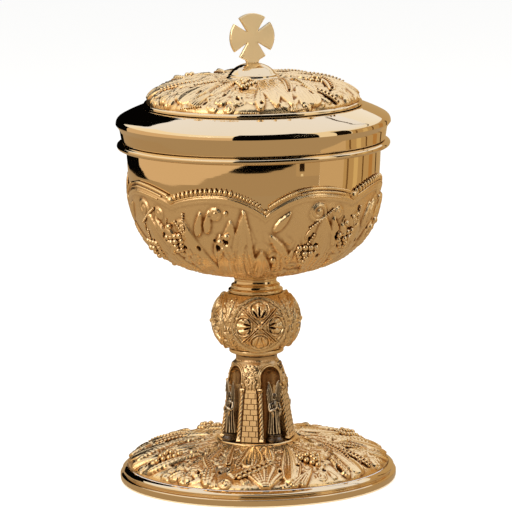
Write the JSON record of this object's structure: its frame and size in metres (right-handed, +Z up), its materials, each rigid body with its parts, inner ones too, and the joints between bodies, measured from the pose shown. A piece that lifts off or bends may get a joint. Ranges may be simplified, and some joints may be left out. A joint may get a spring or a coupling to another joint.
{
  "type": "ciborium",
  "caption": "Gilt lidded cup on a figured stem and domed foot, with a scalloped calyx, a round knop and a lift-off lid topped by a cross.",
  "frame": {"origin": "centre of the foot's underside, on the surface it stands on", "axes": "+Z up along the stem's axis, -Y towards the front of the picture"},
  "size_m": [0.136, 0.136, 0.2297],
  "materials": {
    "polished_gilt": "polished gilt metal",
    "satin_gilt": "satin gilt metal, chased",
    "pale_gilt": "pale satin gilt metal",
    "dark_silver": "oxidised silver, cast",
    "bare_brass": "bare turned brass"
  },
  "bodies": {
    "cup": {"angel_figure_1": "dark_silver", "angel_figure_2": "dark_silver", "angel_figure_3": "dark_silver", "angel_figure_4": "dark_silver", "angel_pedestal_1": "dark_silver", "angel_pedestal_2": "dark_silver", "angel_pedestal_3": "dark_silver", "angel_pedestal_4": "dark_silver", "angel_wings_1": "dark_silver", "angel_wings_2": "dark_silver", "angel_wings_3": "dark_silver", "angel_wings_4": "dark_silver", "calyx": "satin_gilt", "calyx_rope_border": "satin_gilt", "collar_lower": "polished_gilt", "collar_upper": "polished_gilt", "column_1": "satin_gilt", "column_2": "satin_gilt", "column_3": "satin_gilt", "column_4": "satin_gilt", "column_5": "satin_gilt", "column_6": "satin_gilt", "column_7": "satin_gilt", "column_8": "satin_gilt", "cup_bead_ring": "polished_gilt", "cup_bowl": "polished_gilt", "cup_socket": "bare_brass", "foot_dome": "satin_gilt", "foot_rim": "polished_gilt", "knop": "satin_gilt", "knop_medallion_1": "satin_gilt", "knop_medallion_2": "satin_gilt", "knop_medallion_3": "satin_gilt", "knop_medallion_4": "satin_gilt", "stem_base": "polished_gilt", "tie_rod": "bare_brass", "tie_rod_nut": "bare_brass", "tie_rod_washer": "bare_brass", "tower": "satin_gilt"},
    "lid": {"lid_shell": "polished_gilt", "lid_bezel": "polished_gilt", "lid_plate": "satin_gilt", "lid_washer": "bare_brass", "lid_nut": "bare_brass", "finial_stud": "bare_brass", "finial_boss": "polished_gilt", "cross_finial": "pale_gilt"}
  },
  "joints": [
    {"name": "lid_lift", "type": "slide", "parent": "cup", "child": "lid", "axis": [0, 0, 1], "range_m": [0, 0.12]}
  ]
}
